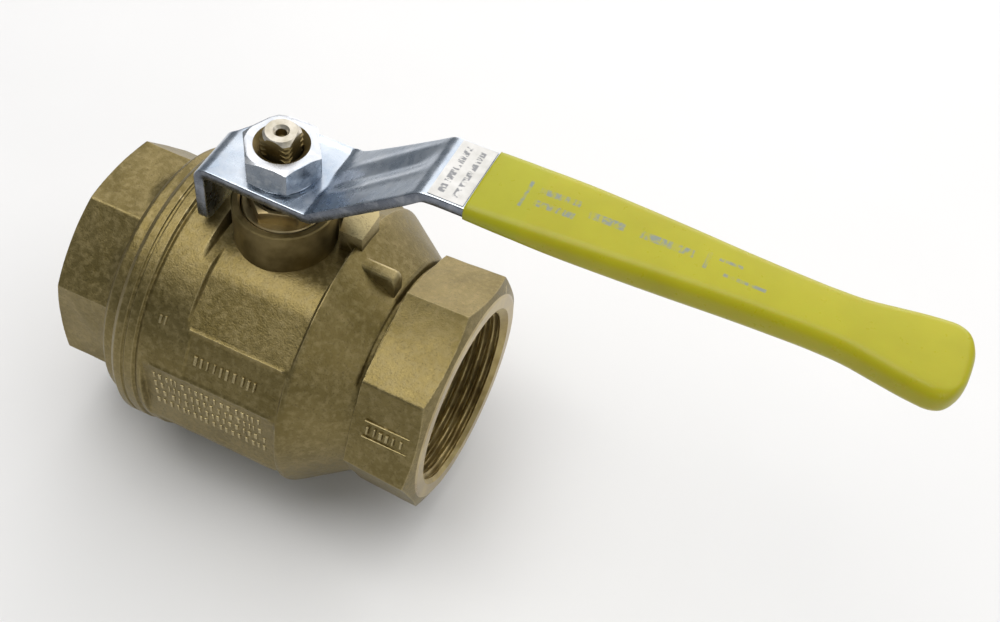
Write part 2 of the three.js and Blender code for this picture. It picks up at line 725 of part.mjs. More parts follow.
place("body", makeBody(), forgedBrass);
place("end_connector", makeEndConnector(), forgedBrass);
place("end_connector_o_ring", makeConnectorRing(), blackRubber);
place("seat_ring_body_side", makeSeatRing(1), fluoropolymer);
place("seat_ring_connector_side", makeSeatRing(-1), fluoropolymer);
place("ball", makeBall(), chrome);
place("stem", makeStem(), machinedBrass);
place("stem_thrust_washer", makeThrustWasher(), fluoropolymer);
place("stem_o_ring", makeStemRing(), blackRubber);
["lower", "middle", "upper"].forEach((level, i) => {
  place(`packing_ring_${level}`, makePackingRing(i), fluoropolymer);
});
place("gland_nut", makeGlandNut(), machinedBrass);
place("lever", makeLever(), zincSteel);
place("lever_grip", makeLeverGrip(), yellowSleeve);
place("lever_washer", makeLeverWasher(), zincSteel);
place("lever_nut", makeLeverNut(), zincSteel);
place("lever_label", makeLeverLabel(), paperLabel);

export default valve;
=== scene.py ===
import math

import bpy
import numpy as np
from mathutils import Matrix, Vector


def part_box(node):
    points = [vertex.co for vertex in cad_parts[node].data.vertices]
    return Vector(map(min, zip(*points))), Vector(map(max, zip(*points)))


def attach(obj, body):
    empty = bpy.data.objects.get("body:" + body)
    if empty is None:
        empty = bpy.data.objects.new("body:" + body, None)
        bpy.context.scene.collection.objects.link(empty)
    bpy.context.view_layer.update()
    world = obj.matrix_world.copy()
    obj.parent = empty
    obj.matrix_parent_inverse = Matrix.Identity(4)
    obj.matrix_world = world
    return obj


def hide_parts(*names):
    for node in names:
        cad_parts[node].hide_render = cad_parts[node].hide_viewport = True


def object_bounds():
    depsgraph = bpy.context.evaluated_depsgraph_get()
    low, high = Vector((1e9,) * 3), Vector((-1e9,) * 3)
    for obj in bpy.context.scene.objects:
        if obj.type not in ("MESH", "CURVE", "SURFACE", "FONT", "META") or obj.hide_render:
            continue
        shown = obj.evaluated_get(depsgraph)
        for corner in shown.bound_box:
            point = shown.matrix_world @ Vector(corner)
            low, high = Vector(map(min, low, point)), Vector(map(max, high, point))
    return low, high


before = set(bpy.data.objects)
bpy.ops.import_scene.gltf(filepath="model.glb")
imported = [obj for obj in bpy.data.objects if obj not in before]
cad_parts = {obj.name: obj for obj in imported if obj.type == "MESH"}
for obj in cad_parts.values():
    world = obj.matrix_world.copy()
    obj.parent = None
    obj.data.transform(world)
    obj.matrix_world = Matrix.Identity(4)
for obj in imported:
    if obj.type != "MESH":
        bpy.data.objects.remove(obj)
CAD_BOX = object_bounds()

# Lengths in this script are millimetres, and become metres as a mesh is made.
MM = 0.001
TURN = 2 * math.pi


def node_box(node):
    """Lowest and highest corners of a CAD node, in millimetres."""
    low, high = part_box(node)
    return np.array(low) / MM, np.array(high) / MM


# ---- Sizes taken from the frame ----
BODY_LOW, BODY_HIGH = node_box("body")
CAP_LOW, _ = node_box("end_connector")
_, BALL_HIGH = node_box("ball")
_, STEM_HIGH = node_box("stem")
LEVER_LOW, LEVER_HIGH = node_box("lever")
GRIP_LOW, GRIP_HIGH = node_box("lever_grip")
NUT_LOW, NUT_HIGH = node_box("lever_nut")
GLAND_LOW, GLAND_HIGH = node_box("gland_nut")

BODY_END = BODY_HIGH[0]
CAP_END = -CAP_LOW[0]
JOINT_FACE = -BODY_LOW[0]
COLLAR_RADIUS = BODY_HIGH[1]
BODY_RADIUS = COLLAR_RADIUS - 0.3
BOSS_TOP = BODY_HIGH[2]
BOSS_RADIUS = 12.6
BORE_RADIUS = 19.0
PASSAGE_RADIUS = 19.6
SEAT_BACK = 25.9  # back of the seat's pocket, from the ball's centre
SEAT_POCKET = 26.7
SPIGOT_RADIUS = 31.2
SPIGOT_ROOM = 31.6
SPIGOT_END = -18.4
STEM_RADIUS = 6.5
STEM_BORE = 6.9
STEM_SHOULDER = 53.7
STEM_TOP = STEM_HIGH[2]
CLOSED_STOP_TOP = 41.2
WALL_DEPTH = 28  # the boss and the stop start at this height, inside the body's wall
SLOT_HALF = 4.7  # half width of the slot in the ball
SLOT_FLOOR = 23.2
SQUARE_HALF = 3.8  # half width of the stem's square
LEVER_NUT_FLATS = 17
GLAND_FLATS = 16
FORGED_BUMP = 0.02

# G 1 1/2 pipe thread.
THREAD_PITCH = 25.4 / 11
THREAD_MINOR = 22.42
THREAD_MAJOR = 23.9
THREAD_MOUTH = 24.25
THREAD_DEPTH = 22.2

# Flats round the body's middle: (degrees from straight up, distance from the axis, from x, to x).
FACETS = [
    (0, 35.8, -13, 17.6),
    (35.75, 36.66, -10.2, 17.8),
    (61.75, 37.35, -8.5, 17.3),
    (90, 36.25, -20, 17.2),
    (118.25, 36.95, -18, 17.2),
    (144.25, 36.7, -13, 17.6),
    (180, 35.8, -13, 17.6),
]
# Thin raised lines along the corners between flats: (degrees from straight up, from x, to x).
RIDGES = [(51.5, -9.5, 16.6), (72, -18, 16.2), (108, -18, 16.2), (128.5, -13, 16.6)]
OCTAGON_CORNER = 32.2
OCTAGON_DRAFT = 0.9
OCTAGON_START = 33.0
NECK_RADIUS = 29.3
CAP_OCTAGON_CORNER = 31.1
CAP_OCTAGON_START = 34.4
CAP_TURN = math.radians(19)
COLUMNS = 540

# Lever of 2.8 mm sheet, cranked up to a handle that rises slightly.
PLATE = 2.8
PLATE_BASE = 54.0
CRANK_FOOT = 11.2
CRANK_HEAD = 38.4
HANDLE_BASE = 76.6
HANDLE_RISE = 0.022
GRIP_START = GRIP_LOW[0]
# Half widths of the steel and of the grip, and the grip's half height, at places along the handle.
STEEL_HALF = [
    (42, 9.2), (49, 9.2), (58, 9.1), (67, 8.8), (82, 8), (93, 7.3), (105, 6.5),
    (115, 6.1), (125, 6), (131, 6.3), (137, 7.3), (144, 8.4), (150, 8.3),
]
GRIP_HALF = [
    (49, 10.0), (58, 10.05), (67, 9.85), (82, 9.1), (93, 8.45), (105, 7.7), (115, 7.3),
    (125, 7.15), (131, 7.45), (137, 8.5), (144, 9.75), (149, 10.3), (154, 10.5),
]
GRIP_HEIGHT = [
    (49, 2.5), (58, 3.0), (67, 3.45), (82, 3.85), (93, 4.0), (125, 4.0), (142, 3.96), (154, 3.76),
]


def handle_middle(x):
    """Height of the middle of the handle's steel."""
    return HANDLE_BASE + PLATE / 2 + HANDLE_RISE * (x - GRIP_START)


# ---- Mesh helpers ----
def fillet(corners, steps=5):
    """A path through corners of (along, radius, rounding), with each corner rounded by an arc."""
    path = []
    last = len(corners) - 1
    for i, (x, r, rounding) in enumerate(corners):
        here = np.array([x, r], float)
        if rounding <= 0 or i in (0, last):
            path.append(here)
            continue
        back = np.array(corners[i - 1][:2], float) - here
        ahead = np.array(corners[i + 1][:2], float) - here
        back_length, ahead_length = np.linalg.norm(back), np.linalg.norm(ahead)
        back, ahead = back / back_length, ahead / ahead_length
        half_angle = math.acos(np.clip(back @ ahead, -1, 1)) / 2
        cut = min(rounding / math.tan(half_angle), 0.48 * back_length, 0.48 * ahead_length)
        first, second = here + back * cut, here + ahead * cut
        for t in np.linspace(0, 1, steps + 1):
            weight = 2 * math.cos(math.pi / 2 - half_angle) * t * (1 - t)
            share = (1 - t) ** 2 + weight + t**2
            path.append(((1 - t) ** 2 * first + weight * here + t**2 * second) / share)
    return np.array(path)


def refine(path, step, ranges=()):
    """Adds points so that no stretch is longer than step, or than a range's own step within that range."""
    out = [path[0]]
    for a, b in zip(path[:-1], path[1:]):
        middle = (a[0] + b[0]) / 2
        wanted = step
        for low, high, own in ranges:
            if low <= middle <= high:
                wanted = own
        count = max(1, math.ceil(np.linalg.norm(b - a) / wanted - 1e-6))
        for i in range(1, count + 1):
            out.append(a + (b - a) * i / count)
    return np.array(out)


def soft_min(a, b, blend):
    """The lesser of two surfaces, their crease rounded over about blend."""
    share = np.clip(0.5 + 0.5 * (b - a) / blend, 0, 1)
    return b * (1 - share) + a * share - blend * share * (1 - share)


def soft_max(a, b, blend):
    return -soft_min(-a, -b, blend)


def window(x, low, high, edge):
    """1 between low and high, falling to 0 over edge on both sides of each."""
    return smooth_step(x, low - edge, low + edge) * smooth_step(-x, -high - edge, -high + edge)


def smooth_step(x, low, high):
    t = np.clip((x - low) / (high - low), 0, 1)
    return t * t * (3 - 2 * t)


def curve_through(points, x):
    """A smooth curve through [x, y] points: cubic pieces with the slope of their neighbours."""
    xs, ys = np.array(points, float).T
    slopes = np.gradient(ys, xs)
    i = np.clip(np.searchsorted(xs, x) - 1, 0, len(xs) - 2)
    width = xs[i + 1] - xs[i]
    t = np.clip((x - xs[i]) / width, 0, 1)
    a = (1 + 2 * t) * (1 - t) ** 2 * ys[i] + t * (1 - t) ** 2 * width * slopes[i]
    return a + t * t * (3 - 2 * t) * ys[i + 1] + t * t * (t - 1) * width * slopes[i + 1]


def add_object(name, points, faces):
    mesh = bpy.data.meshes.new(name)
    mesh.from_pydata((np.asarray(points) * MM).tolist(), [], [tuple(f) for f in faces])
    mesh.validate()
    thing = bpy.data.objects.new(name, mesh)
    bpy.context.scene.collection.objects.link(thing)
    return thing


def grid_faces(rows, columns, close_rows, close_columns):
    r = np.arange(rows if close_rows else rows - 1)
    c = np.arange(columns if close_columns else columns - 1)
    r, c = (a.ravel() for a in np.meshgrid(r, c, indexing="ij"))
    r2, c2 = (r + 1) % rows, (c + 1) % columns
    return np.stack([r * columns + c, r * columns + c2, r2 * columns + c2, r2 * columns + c], 1)


def ring_solid(name, rows):
    """A closed solid from a closed row of closed loops, as an array of rows x columns x 3."""
    count, columns = rows.shape[:2]
    return outward(add_object(name, rows.reshape(-1, 3), grid_faces(count, columns, True, True)))


def tube_solid(name, rows):
    """A closed solid from an open row of closed loops, with a fan over each end."""
    count, columns = rows.shape[:2]
    points = np.vstack([rows.reshape(-1, 3), rows[0].mean(0), rows[-1].mean(0)])
    faces = grid_faces(count, columns, False, True).tolist()
    first, last = count * columns, count * columns + 1
    for c in range(columns):
        after = (c + 1) % columns
        faces.append((first, after, c))
        faces.append((last, (count - 1) * columns + c, (count - 1) * columns + after))
    return outward(add_object(name, points, faces))


def outward(thing):
    """Turns the faces out if the mesh is inside out."""
    mesh = thing.data
    mesh.calc_loop_triangles()
    points = np.array([v.co for v in mesh.vertices])
    corners = np.array([t.vertices for t in mesh.loop_triangles])
    a, b, c = (points[corners[:, i]] for i in range(3))
    if np.einsum("ij,ij->i", a, np.cross(b, c)).sum() < 0:
        mesh.flip_normals()
    return thing


def about_x(x, radius, angle):
    """Points about the X axis; the angle runs from straight up towards -Y."""
    x, radius, angle = np.broadcast_arrays(x, radius, angle)
    return np.stack([x, -radius * np.sin(angle), radius * np.cos(angle)], -1)


def about_z(z, radius, angle):
    z, radius, angle = np.broadcast_arrays(z, radius, angle)
    return np.stack([radius * np.cos(angle), radius * np.sin(angle), z], -1)


def turned_ring(name, path, about, columns=96):
    """A ring turned from a closed path that doesn't meet the axis."""
    angle = np.arange(columns) / columns * TURN
    return ring_solid(name, about(path[:, :1], path[:, 1:], angle[None, :]))


def turned_rod(name, path, about, columns=96):
    """A solid turned from an open path, closed by a fan at each end."""
    angle = np.arange(columns) / columns * TURN
    return tube_solid(name, about(path[:, :1], path[:, 1:], angle[None, :]))


def prism(name, outline, low, high):
    """A flat outline raised along Z."""
    outline = np.array(outline, float)
    loops = [np.c_[outline, np.full(len(outline), z)] for z in (low, high)]
    return tube_solid(name, np.array(loops))


def regular(sides, corner, turn=0.0):
    angle = np.arange(sides) / sides * TURN + turn
    return np.c_[corner * np.cos(angle), corner * np.sin(angle)]


def block(name, low, high):
    (x0, y0, z0), (x1, y1, z1) = low, high
    return prism(name, [(x0, y0), (x1, y0), (x1, y1), (x0, y1)], z0, z1)


def combine(thing, tool, operation):
    """Joins or cuts thing with tool, which is used up."""
    modifier = thing.modifiers.new("combine", "BOOLEAN")
    modifier.operation = operation
    modifier.solver = "MANIFOLD"
    modifier.object = tool
    apply_modifiers(thing)
    mesh = tool.data
    bpy.data.objects.remove(tool)
    bpy.data.meshes.remove(mesh)
    return thing


def apply_modifiers(thing):
    evaluated = thing.evaluated_get(bpy.context.evaluated_depsgraph_get())
    mesh = bpy.data.meshes.new_from_object(evaluated)
    old = thing.data
    thing.modifiers.clear()
    thing.data = mesh
    mesh.name = thing.name
    bpy.data.meshes.remove(old)


def finish_piece(thing, node, body, materials, crease=35, choose=None):
    """Shades a piece, gives it its materials and puts it in place of a CAD node."""
    mesh = thing.data
    mesh.materials.clear()
    for material in materials:
        mesh.materials.append(material)
    mesh.polygons.foreach_set("use_smooth", np.ones(len(mesh.polygons), bool))
    mesh.set_sharp_from_angle(angle=math.radians(crease))
    if choose is not None:
        count = len(mesh.polygons)
        centres, normals = np.zeros(count * 3), np.zeros(count * 3)
        mesh.polygons.foreach_get("center", centres)
        mesh.polygons.foreach_get("normal", normals)
        index = choose(centres.reshape(-1, 3) / MM, normals.reshape(-1, 3))
        mesh.polygons.foreach_set("material_index", index.astype(np.int32))
    mesh.update()
    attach(thing, body)
    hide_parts(node)
    return thing


# ---- Material helpers ----
class Shader:
    """A material's node tree, with short calls for the nodes that the materials share."""

    def __init__(self, name):
        self.material = bpy.data.materials.new(name)
        self.material.use_nodes = True
        self.tree = self.material.node_tree
        self.surface = self.tree.nodes["Principled BSDF"]
        self.place = self.add("ShaderNodeTexCoord").outputs["Object"]

    def add(self, kind, inputs=None, **settings):
        node = self.tree.nodes.new(kind)
        for key, value in settings.items():
            setattr(node, key, value)
        for key, value in (inputs or {}).items():
            self.feed(node.inputs[key], value)
        return node

    def feed(self, socket, value):
        if isinstance(value, bpy.types.NodeSocket):
            self.tree.links.new(value, socket)
        else:
            socket.default_value = value

    def noise(self, size, detail=3.0, roughness=0.55, stretch=(1, 1, 1)):
        """Noise with features about size millimetres across."""
        scaled = self.add("ShaderNodeMapping", {"Vector": self.place, "Scale": stretch})
        inputs = {"Vector": scaled.outputs[0], "Scale": 1 / (size * MM), "Detail": detail}
        inputs["Roughness"] = roughness
        return self.add("ShaderNodeTexNoise", inputs).outputs["Fac"]

    def spread(self, value, low, high, to_low=0.0, to_high=1.0):
        inputs = {"Value": value, "From Min": low, "From Max": high, "To Min": to_low, "To Max": to_high}
        return self.add("ShaderNodeMapRange", inputs).outputs[0]

    def mix(self, share, a, b):
        node = self.add("ShaderNodeMix", data_type="RGBA")
        self.feed(node.inputs["Factor"], share)
        self.feed(node.inputs["A"], a)
        self.feed(node.inputs["B"], b)
        return node.outputs["Result"]

    def math(self, operation, a, b=0.0):
        node = self.add("ShaderNodeMath", operation=operation)
        self.feed(node.inputs[0], a)
        self.feed(node.inputs[1], b)
        return node.outputs[0]

    def bump(self, height, depth, strength=1.0, below=None):
        inputs = {"Height": height, "Distance": depth * MM, "Strength": strength}
        if below is not None:
            inputs["Normal"] = below
        return self.add("ShaderNodeBump", inputs).outputs[0]

    def band(self, value, low, high, edge):
        """1 where value is between low and high millimetres, falling to 0 over edge on both sides."""
        rise = self.spread(value, (low - edge) * MM, (low + edge) * MM)
        fall = self.spread(value, (high - edge) * MM, (high + edge) * MM, 1.0, 0.0)
        return self.math("MULTIPLY", rise, fall)

    def axes(self):
        return self.add("ShaderNodeSeparateXYZ", {"Vector": self.place}).outputs

    def set(self, **sockets):
        for key, value in sockets.items():
            self.feed(self.surface.inputs[key.replace("_", " ")], value)


def colour(r, g, b):
    return (r, g, b, 1.0)


def forged_brass():
    s = Shader("forged_brass")
    coarse, middle, fine = s.noise(11.0, 4), s.noise(1.5, 4), s.noise(0.45, 3)
    tone = s.mix(s.spread(coarse, 0.35, 0.65), colour(0.16, 0.123, 0.042), colour(0.215, 0.168, 0.066))
    tone = s.mix(s.spread(middle, 0.45, 0.7, 0, 0.4), tone, colour(0.4, 0.325, 0.16))
    # Sharp convex edges and ridges turn lighter: partly rubbed wear, partly a painted highlight.
    edge = s.spread(s.add("ShaderNodeNewGeometry").outputs["Pointiness"], 0.515, 0.58, 0, 0.6)
    tone = s.mix(edge, tone, colour(0.55, 0.46, 0.25))
    pits = s.spread(fine, 0.34, 0.42, 1, 0)
    tone = s.mix(s.math("MULTIPLY", pits, 0.45), tone, colour(0.07, 0.056, 0.026))
    normal = s.bump(middle, 0.1, 0.6)
    normal = s.bump(fine, 0.09, 0.8, normal)
    s.set(Base_Color=tone, Metallic=0.88, Roughness=s.spread(middle, 0.3, 0.7, 0.34, 0.5), Normal=normal)
    return s.material


def machined_brass():
    s = Shader("machined_brass")
    film, grain = s.noise(6.0, 4), s.noise(0.35, 2)
    tone = s.mix(s.spread(film, 0.35, 0.65), colour(0.34, 0.26, 0.13), colour(0.5, 0.41, 0.23))
    normal = s.bump(grain, 0.02, 0.35)
    s.set(Base_Color=tone, Metallic=1.0, Roughness=s.spread(film, 0.3, 0.7, 0.26, 0.42), Normal=normal)
    return s.material


def turned_brass(name, low, high):
    s = Shader(name)
    film, grain = s.noise(5.0, 4), s.noise(0.5, 3)
    tone = s.mix(s.spread(film, 0.35, 0.65), low, high)
    s.set(Base_Color=tone, Metallic=0.9, Roughness=s.spread(film, 0.3, 0.7, 0.36, 0.5))
    s.set(Normal=s.bump(grain, 0.03, 0.4))
    return s.material


def pale_brass():
    s = Shader("pale_brass")
    film, grain = s.noise(2.5, 4), s.noise(0.4, 2)
    tone = s.mix(s.spread(film, 0.35, 0.65), colour(0.46, 0.42, 0.33), colour(0.66, 0.62, 0.54))
    s.set(Base_Color=tone, Metallic=1.0, Roughness=s.spread(film, 0.3, 0.7, 0.28, 0.42))
    s.set(Normal=s.bump(grain, 0.02, 0.35))
    return s.material


def zinc_plate(name, low, high):
    s = Shader(name)
    cloud, grain, fleck = s.noise(12.0, 4), s.noise(0.7, 2, stretch=(0.3, 1, 1)), s.noise(2.2, 4)
    tone = s.mix(s.spread(cloud, 0.35, 0.65), low, high)
    tone = s.mix(s.spread(fleck, 0.5, 0.75, 0, 0.3), tone, colour(0.66, 0.67, 0.69))
    # Sharp edges turn lighter and paler: a painted highlight.
    edge = s.spread(s.add("ShaderNodeNewGeometry").outputs["Pointiness"], 0.52, 0.6, 0, 0.5)
    tone = s.mix(edge, tone, colour(0.75, 0.76, 0.78))
    normal = s.bump(grain, 0.01, 0.3)
    normal = s.bump(cloud, 0.6, 0.3, normal)
    s.set(Base_Color=tone, Metallic=1.0, Roughness=s.spread(fleck, 0.3, 0.7, 0.22, 0.34), Normal=normal)
    return s.material


# Bars of the worn print on the grip: (from x, to x, from y, to y).
PRINTED_BARS = [
    (58.6, 59.4, -4.2, 3.6),
    (61.5, 70.5, 0.9, 2.6),
    (61.5, 70.5, -2.8, -1.1),
    (73, 81, -1.0, 1.0),
    (84.5, 96, -1.0, 1.0),
    (98.5, 99.3, -2.4, 2.2),
    (101, 106, 0.9, 1.7),
    (103, 112, -2.6, -1.8),
]


def yellow_vinyl():
    """Glossy plastisol with a worn print along the upper side, as broken bars."""
    s = Shader("yellow_vinyl")
    cloud, grain, wear = s.noise(22.0, 4), s.noise(2.0, 4), s.noise(1.3, 4)
    x, y, z = s.axes()
    tone = s.mix(s.spread(cloud, 0.35, 0.65), colour(0.315, 0.3, 0.007), colour(0.37, 0.355, 0.01))
    ink = 0.0
    for x0, x1, y0, y1 in PRINTED_BARS:
        ink = s.math("MAXIMUM", ink, s.math("MULTIPLY", s.band(x, x0, x1, 0.12), s.band(y, y0, y1, 0.12)))
    strokes = s.spread(s.noise(0.9, 1, stretch=(1, 0.25, 0.05)), 0.42, 0.52, 0.15, 1.0)
    worn = s.math("MULTIPLY", strokes, s.spread(wear, 0.36, 0.56, 0.1, 0.75))
    ink = s.math("MULTIPLY", s.math("MULTIPLY", ink, worn), s.band(z, 80.5, 90, 0.3))
    tone = s.mix(ink, tone, colour(0.16, 0.21, 0.26))
    normal = s.bump(grain, 0.07, 0.3)
    s.set(Base_Color=tone, Metallic=0.0, Roughness=s.spread(grain, 0.3, 0.7, 0.26, 0.38), Normal=normal)
    s.set(Subsurface_Weight=0.05, Specular_IOR_Level=0.3)
    return s.material


def chrome_plate():
    s = Shader("chrome_plate")
    haze = s.noise(8.0, 3)
    s.set(Base_Color=s.mix(haze, colour(0.6, 0.61, 0.63), colour(0.75, 0.76, 0.77)), Metallic=1.0)
    s.set(Roughness=s.spread(haze, 0.3, 0.7, 0.05, 0.14), Normal=s.bump(s.noise(0.8, 2), 0.01, 0.3))
    return s.material


def fluoropolymer():
    s = Shader("fluoropolymer")
    cloud = s.noise(3.0, 4)
    s.set(Base_Color=s.mix(cloud, colour(0.68, 0.67, 0.62), colour(0.8, 0.79, 0.76)), Roughness=0.42)
    s.set(Normal=s.bump(s.noise(0.5, 3), 0.03, 0.4), Subsurface_Weight=0.1)
    return s.material


def black_rubber():
    s = Shader("black_rubber")
    cloud = s.noise(1.0, 4)
    s.set(Base_Color=s.mix(cloud, colour(0.012, 0.012, 0.013), colour(0.03, 0.03, 0.032)))
    s.set(Roughness=s.spread(cloud, 0.3, 0.7, 0.4, 0.6), Normal=s.bump(cloud, 0.02, 0.4))
    return s.material


def pale_label():
    """Off-white film with two printed rows across the handle, as plain uneven bars."""
    s = Shader("pale_label")
    cloud = s.noise(2.5, 4)
    x, y, _ = s.axes()
    tone = s.mix(s.spread(cloud, 0.3, 0.7), colour(0.56, 0.55, 0.52), colour(0.7, 0.69, 0.67))
    rows = s.math("ADD", s.band(x, 41.9, 43.4, 0.12), s.band(x, 45.3, 46.6, 0.12))
    gaps = s.spread(s.noise(0.8, 2, stretch=(0.35, 1, 0.05)), 0.47, 0.53)
    ink = s.math("MULTIPLY", s.math("MULTIPLY", rows, gaps), s.band(y, -7.2, 7.2, 0.2))
    tone = s.mix(s.math("MULTIPLY", ink, 0.75), tone, colour(0.09, 0.1, 0.12))
    s.set(Base_Color=tone, Roughness=0.45, Normal=s.bump(s.noise(0.7, 3), 0.02, 0.4))
    return s.material


FORGED = forged_brass()
MACHINED = machined_brass()
THREADS = turned_brass("threaded_brass", colour(0.3, 0.225, 0.09), colour(0.46, 0.37, 0.17))
# Darker brass: on the boss its own darker tone with painted shade; on the stem's threaded sides and inside
# the lever nut it is painted shade.
DARK_BRASS_AND_SHADE = turned_brass("dark_brass_and_shade", colour(0.15, 0.112, 0.042), colour(0.24, 0.185, 0.08))
STEM_BRASS = pale_brass()
ZINC = zinc_plate("zinc_plate", colour(0.36, 0.42, 0.5), colour(0.55, 0.6, 0.66))
# The lever nut's zinc in two copies: a lighter one on its ends as painted highlight, a dark one on its flats
# as painted shade.
NUT_LIT_ZINC = zinc_plate("nut_lit_plate", colour(0.5, 0.53, 0.57), colour(0.62, 0.64, 0.67))
NUT_SHADED_ZINC = zinc_plate("nut_shaded_flats", colour(0.045, 0.065, 0.095), colour(0.12, 0.155, 0.2))
# The sheet's cut edges in a darker copy of the zinc: painted shade.
SHADED_SHEET_EDGE = zinc_plate("sheet_edge_shade", colour(0.07, 0.082, 0.105), colour(0.17, 0.19, 0.23))
VINYL = yellow_vinyl()
CHROME = chrome_plate()
PTFE = fluoropolymer()
RUBBER = black_rubber()
LABEL = pale_label()


# ---- Body and end connector ----
ANGLES = (np.arange(COLUMNS) / COLUMNS * TURN)[None, :]


def octagon_radius(angle, corner, turn):
    """Distance to the side of an octagon that has a corner at turn."""
    eighth = TURN / 8
    from_middle = np.mod(angle - turn, eighth) - eighth / 2
    return corner * math.cos(eighth / 2) / np.cos(from_middle)


def thread_relief(x, end):
    """How far a helical Whitworth-like groove reaches beyond the minor radius."""
    phase = np.mod(x / THREAD_PITCH + ANGLES / TURN, 1.0)
    ridge = np.abs(phase - 0.5) * 2
    inward = np.abs(end - x)
    fade = smooth_step(THREAD_DEPTH - inward, 0.8, 4.5)
    return (THREAD_MAJOR - THREAD_MINOR) * smooth_step(ridge, 0.12, 0.88) * fade


def socket_path(end):
    """Mouth, socket, passage and seat pocket of an end, from its face inwards; end is positive."""
    floor = end - THREAD_DEPTH
    return [
        (end, THREAD_MOUTH, 0),
        (end - 1.7, THREAD_MINOR, 0.1),
        (floor, THREAD_MINOR, 0.3),
        (floor, PASSAGE_RADIUS, 0.5),
        (SEAT_BACK, PASSAGE_RADIUS, 0.2),
        (SEAT_BACK, SEAT_POCKET, 0.2),
    ]


def forged_ripple(x):
    """Slight unevenness of a forged skin."""
    waves = [(0.21, 3, 0.4), (0.37, 5, 1.7), (0.55, 2, 3.1), (0.31, 9, 5.2), (0.9, 17, 2.2)]
    return sum(np.sin(k * x + n * ANGLES + phase) for k, n, phase in waves) * FORGED_BUMP


def samples(low, high, step, dense, fine):
    """Places from low to high, step apart, or fine apart within the dense ranges."""
    places = [low]
    while places[-1] < high - 1e-6:
        here = places[-1]
        close = any(a - 1e-6 <= here <= b for a, b in dense)
        places.append(min(high, here + (fine if close else step)))
    return np.array(places)[:, None]


def shell(name, x, skin, inside, end, low_inner):
    """A ring solid about X: the skin over x, its end faces, and the path inside."""
    outer = list(zip(x + 0 * ANGLES, skin))
    mouth_first = abs(x[0, 0] - end) < abs(x[-1, 0] - end)
    if mouth_first:
        outer.reverse()
    joint_x, joint_skin = outer[0]
    end_x, end_skin = outer[-1]
    rows = [(joint_x, low_inner + (joint_skin - low_inner) * t) for t in (0.25, 0.5, 0.75)]
    rows += outer
    to_mouth = THREAD_MOUTH + 0.1 - end_skin
    rows += [(end_x, end_skin + to_mouth * t) for t in (0.02, 0.25, 0.5, 0.75, 0.97, 1)]
    span = sorted((end, end - math.copysign(THREAD_DEPTH, end)))
    path = refine(fillet(inside), 0.8, [(*span, 0.2)])
    for along, radius in path:
        surface = np.full(COLUMNS, radius)
        if radius < THREAD_MOUTH + 0.01 and span[0] + 0.05 < along < span[1]:
            surface = np.maximum(radius, THREAD_MINOR + thread_relief(along, end)[0])
        rows.append((np.full(COLUMNS, along), surface))
    rows = np.array(rows)
    return ring_solid(name, about_x(rows[:, 0], rows[:, 1], ANGLES))


def body_skin(x):
    lathe = fillet(
        [
            (-JOINT_FACE, COLLAR_RADIUS - 1.3, 0),
            (-JOINT_FACE + 1.4, COLLAR_RADIUS, 0.8),
            (-26.0, COLLAR_RADIUS, 0.15),
            (-25.7, COLLAR_RADIUS - 0.4, 0.15),
            (-25.2, COLLAR_RADIUS - 0.4, 0.15),
            (-24.9, COLLAR_RADIUS, 0.15),
            (-22.7, COLLAR_RADIUS, 0.2),
            (-22.2, COLLAR_RADIUS - 0.75, 0.2),
            (-21.2, BODY_RADIUS, 0.4),
            (18.4, BODY_RADIUS, 2.2),
            (31.0, NECK_RADIUS + 0.2, 1.2),
            (BODY_END, 22, 0),
        ]
    )
    surface = np.interp(x, lathe[:, 0], lathe[:, 1]) + 0 * ANGLES
    signed = np.mod(ANGLES + math.pi, TURN) - math.pi
    blend = 0.3 + 3.0 * (1 - smooth_step(np.abs(signed), math.radians(22), math.radians(36)))
    for side in (-1, 1):
        for middle, distance, low, high in FACETS:
            away = np.mod(ANGLES - side * math.radians(middle) + math.pi, TURN) - math.pi
            flat = distance / np.cos(np.clip(away, -1.2, 1.2))
            surface += (soft_min(surface, flat, blend) - surface) * window(x, low, high, 0.45)
        for corner, low, high in RIDGES:
            away = np.mod(ANGLES - side * math.radians(corner) + math.pi, TURN) - math.pi
            surface += 0.28 * np.exp(-((away / 0.011) ** 2)) * window(x, low, high, 0.4)
    # The step between cone and octagon runs deeper over the top of the far side.
    far_top = smooth_step(signed, math.radians(-52), math.radians(-44))
    far_top = far_top * (1 - smooth_step(signed, 0.02, 0.14))
    near_top = 0.35 * (1 - smooth_step(np.abs(signed), math.radians(44), math.radians(54)))
    surface -= 1.5 * window(x, 31.5, 33.0, 0.3) * np.maximum(far_top, near_top)
    corner = OCTAGON_CORNER - OCTAGON_DRAFT * (BODY_END - x) / (BODY_END - OCTAGON_START)
    octagon = octagon_radius(ANGLES, corner, 0.0)
    octagon = soft_min(octagon, 27.35 + (BODY_END - x) * 2.5, 0.2)
    octagon = soft_min(octagon, 26 + (x - OCTAGON_START + 0.6) * 9, 0.8)
    surface = np.where(x > 31.8, soft_max(surface, octagon, 0.7), surface)
    fade = smooth_step(BODY_END - 0.2 - x, 0, 0.5) * smooth_step(x + JOINT_FACE, 0.3, 1.2)
    return np.minimum(surface + forged_ripple(x) * fade, COLLAR_RADIUS)


